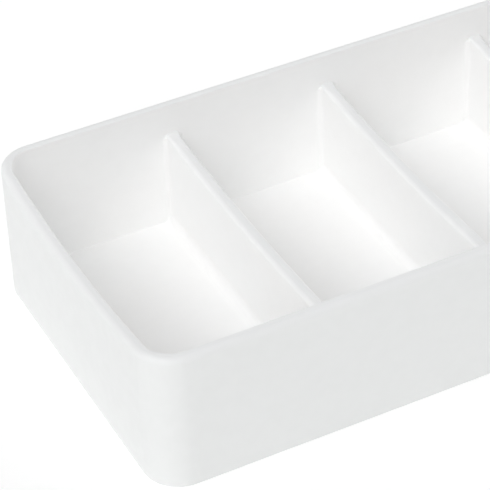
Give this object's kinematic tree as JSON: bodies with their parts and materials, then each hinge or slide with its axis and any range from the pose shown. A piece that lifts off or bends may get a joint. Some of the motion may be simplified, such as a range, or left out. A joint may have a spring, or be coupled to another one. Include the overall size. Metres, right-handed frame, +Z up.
{
  "type": "mixing palette",
  "caption": "Long shallow palette tray with rounded corners and dipped end rims, divided by lift-out cross plates into open rectangular mixing wells.",
  "frame": {"origin": "centre of the underside, on the plane the foot rim stands on", "axes": "+X along the tray, +Y across it from the front long wall to the back long wall, +Z up"},
  "size_m": [0.2476, 0.1, 0.041],
  "materials": {
    "shell_plastic": "satin white moulded plastic",
    "divider_plastic": "satin white moulded plastic"
  },
  "bodies": {
    "tray": {"tray_shell": "shell_plastic"},
    "divider_1_body": {"divider_1": "divider_plastic"},
    "divider_2_body": {"divider_2": "divider_plastic"},
    "divider_3_body": {"divider_3": "divider_plastic"},
    "divider_4_body": {"divider_4": "divider_plastic"}
  },
  "joints": [
    {"name": "divider_1_lift", "type": "slide", "parent": "tray", "child": "divider_1_body", "axis": [0, 0, 1], "range_m": [0, 0.044]},
    {"name": "divider_2_lift", "type": "slide", "parent": "tray", "child": "divider_2_body", "axis": [0, 0, 1], "range_m": [0, 0.044]},
    {"name": "divider_3_lift", "type": "slide", "parent": "tray", "child": "divider_3_body", "axis": [0, 0, 1], "range_m": [0, 0.044]},
    {"name": "divider_4_lift", "type": "slide", "parent": "tray", "child": "divider_4_body", "axis": [0, 0, 1], "range_m": [0, 0.044]}
  ]
}
